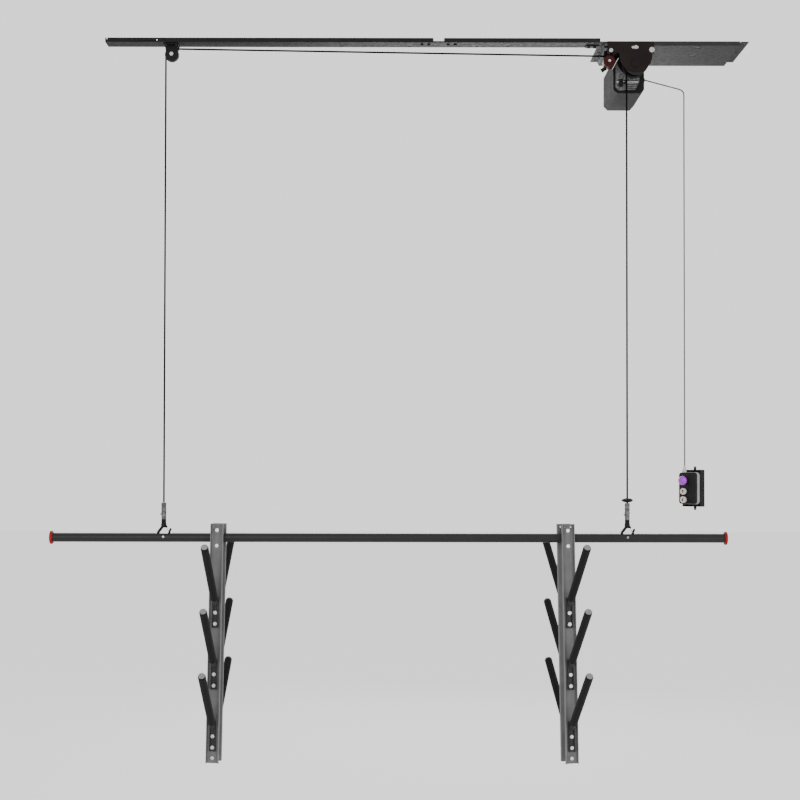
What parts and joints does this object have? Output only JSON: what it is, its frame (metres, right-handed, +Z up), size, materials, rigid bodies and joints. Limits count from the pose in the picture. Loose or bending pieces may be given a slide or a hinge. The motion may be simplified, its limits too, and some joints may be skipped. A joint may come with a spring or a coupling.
{
  "type": "ceiling mounted pulley rack",
  "caption": "Ceiling rail with a small electric winch and an end pulley whose ropes lift a horizontal bar carrying hanging peg trees, with a pendant control on a cable.",
  "frame": {"origin": "centre of the four corner ceiling bolts of the winch plate, on the ceiling plane", "axes": "+X along the bar towards the winch end, +Y away from the front face, +Z up to the ceiling"},
  "size_m": [2.522, 0.5509, 2.6034],
  "materials": {
    "rail_paint": "satin black powder coat",
    "plate_paint": "satin charcoal powder coat",
    "frame_paint": "dark brown-black powder coat",
    "zinc": "bright zinc plate",
    "steel": "ground steel",
    "cast_black": "black cast iron",
    "red_plastic": "dark red moulded",
    "red_cap": "red moulded",
    "black_plastic": "black moulded",
    "housing_paint": "dark grey paint",
    "copper_iron": "laminated core",
    "alloy": "plain",
    "rope": "black coated wire rope",
    "hook_black": "black forged hook",
    "bar_paint": "satin black tube",
    "tree_paint": "grey powder coat",
    "peg_paint": "black paint",
    "foam": "closed-cell foam",
    "plug": "light grey moulded",
    "rim": "light grey gasket frame",
    "white_plastic": "white moulded",
    "violet": "glossy violet dome",
    "cable": "grey sheath"
  },
  "bodies": {
    "ceiling_unit": {"rail_left": "rail_paint", "rail_right": "rail_paint", "rail_joiners": "rail_paint", "rail_bolts": "zinc", "winch_plate": "plate_paint", "pulley_bracket": "rail_paint", "axle_bolts": "zinc", "winch_front_plate": "frame_paint", "winch_rear_plate": "frame_paint", "winch_bolts": "zinc", "bearings": "steel", "guide_bracket": "rail_paint", "motor_housing": "housing_paint", "motor_cover": "black_plastic", "stator": "copper_iron", "capacitor": "alloy", "limit_switch": "black_plastic", "winch_gland": "black_plastic", "rope_long": "rope", "rope_right_wrap": "rope", "rope_left_drop": "rope", "rope_right_drop": "rope", "control_cable": "cable"},
    "end_sheave": {"pulley_sheave": "black_plastic"},
    "guide_wheel": {"guide_roller": "red_plastic"},
    "drum_set": {"drum": "cast_black", "drum_rope": "rope", "output_shaft": "steel"},
    "idler": {"gear_idler": "steel"},
    "rotor_set": {"rotor": "steel"},
    "limit_arm": {"limit_lever": "black_plastic"},
    "load_bar": {"stop_disc": "black_plastic", "rope_ferrules": "steel", "hook_heads": "hook_black", "hooks": "hook_black", "bar_tube": "bar_paint", "bar_caps": "red_cap", "bar_pins": "steel"},
    "latch_l": {"latch_left": "steel"},
    "latch_r": {"latch_right": "steel"},
    "tree_left": {"tree_left_channels": "tree_paint", "tree_left_pegs": "peg_paint", "tree_left_sleeves": "foam", "tree_left_plugs": "plug", "tree_left_bolts": "zinc", "tree_left_spacers": "steel"},
    "tree_right": {"tree_right_channels": "tree_paint", "tree_right_pegs": "peg_paint", "tree_right_sleeves": "foam", "tree_right_plugs": "plug", "tree_right_bolts": "zinc", "tree_right_spacers": "steel"},
    "pendant": {"pendant_back": "black_plastic", "pendant_rim": "rim", "pendant_cover": "black_plastic", "pendant_contacts": "white_plastic", "pendant_gland": "white_plastic"},
    "stop_key": {"stop_button": "violet"},
    "up_key": {"up_button": "white_plastic"},
    "down_key": {"down_button": "white_plastic"}
  },
  "joints": [
    {"name": "bar_lift", "type": "slide", "parent": "ceiling_unit", "child": "load_bar", "axis": [0, 0, 1], "range_m": [0, 1.45], "deforming": ["rope_left_drop", "rope_right_drop"]},
    {"name": "drum_spin", "type": "hinge", "parent": "ceiling_unit", "child": "drum_set", "pos_m": [-0.1395, -0.12, -0.08], "axis": [0, 1, 0], "range_deg": [0, 2605]},
    {"name": "sheave_spin", "type": "hinge", "parent": "ceiling_unit", "child": "end_sheave", "pos_m": [-1.8195, -0.12, -0.05], "axis": [0, 1, 0], "range_deg": [0, 3785]},
    {"name": "guide_spin", "type": "hinge", "parent": "ceiling_unit", "child": "guide_wheel", "pos_m": [-0.2345, -0.12, -0.07142], "axis": [0, 1, 0], "range_deg": [0, 3390]},
    {"name": "idler_spin", "type": "hinge", "parent": "ceiling_unit", "child": "idler", "pos_m": [-0.1525, -0.12, -0.10252], "axis": [0, 1, 0], "range_deg": [-8660, 0]},
    {"name": "rotor_spin", "type": "hinge", "parent": "ceiling_unit", "child": "rotor_set", "pos_m": [-0.15708, -0.12, -0.12608], "axis": [0, 1, 0], "range_deg": [0, 25970]},
    {"name": "limit_trip", "type": "hinge", "parent": "ceiling_unit", "child": "limit_arm", "pos_m": [-0.1715, -0.087, -0.14], "axis": [-1, 0, 0], "range_deg": [0, 8], "stiffness_Nm_per_rad": 0.3, "springref_deg": -17.19},
    {"name": "latch_left_swing", "type": "hinge", "parent": "load_bar", "child": "latch_l", "pos_m": [-1.8315, -0.12, -1.76], "axis": [0, 1, 0], "range_deg": [0, 40], "stiffness_Nm_per_rad": 0.01, "springref_deg": -22.92},
    {"name": "latch_right_swing", "type": "hinge", "parent": "load_bar", "child": "latch_r", "pos_m": [-0.1615, -0.12, -1.76], "axis": [0, 1, 0], "range_deg": [0, 40], "stiffness_Nm_per_rad": 0.01, "springref_deg": -22.92},
    {"name": "tree_left_slide", "type": "slide", "parent": "load_bar", "child": "tree_left", "axis": [1, 0, 0], "range_m": [-0.12, 0.3]},
    {"name": "tree_right_slide", "type": "slide", "parent": "load_bar", "child": "tree_right", "axis": [1, 0, 0], "range_m": [-0.3, 0.12]},
    {"name": "pendant_twist", "type": "hinge", "parent": "ceiling_unit", "child": "pendant", "pos_m": [0.0635, 0.02, -1.5], "axis": [0, 0, 1], "range_deg": [-60, 60]},
    {"name": "stop_press", "type": "slide", "parent": "pendant", "child": "stop_key", "axis": [0.766, 0.6428, 0], "range_m": [0, 0.004], "stiffness_N_per_m": 300, "springref_m": -0.003},
    {"name": "up_press", "type": "slide", "parent": "pendant", "child": "up_key", "axis": [0.766, 0.6428, 0], "range_m": [0, 0.0025], "stiffness_N_per_m": 300, "springref_m": -0.003},
    {"name": "down_press", "type": "slide", "parent": "pendant", "child": "down_key", "axis": [0.766, 0.6428, 0], "range_m": [0, 0.0025], "stiffness_N_per_m": 300, "springref_m": -0.003}
  ],
  "couplings": [
    {"joint": "drum_spin", "follows": "bar_lift", "rad_per_m": 31.25},
    {"joint": "sheave_spin", "follows": "bar_lift", "rad_per_m": 45.455},
    {"joint": "guide_spin", "follows": "bar_lift", "rad_per_m": 40.733},
    {"joint": "idler_spin", "follows": "bar_lift", "rad_per_m": -104.17},
    {"joint": "rotor_spin", "follows": "bar_lift", "rad_per_m": 312.5}
  ]
}
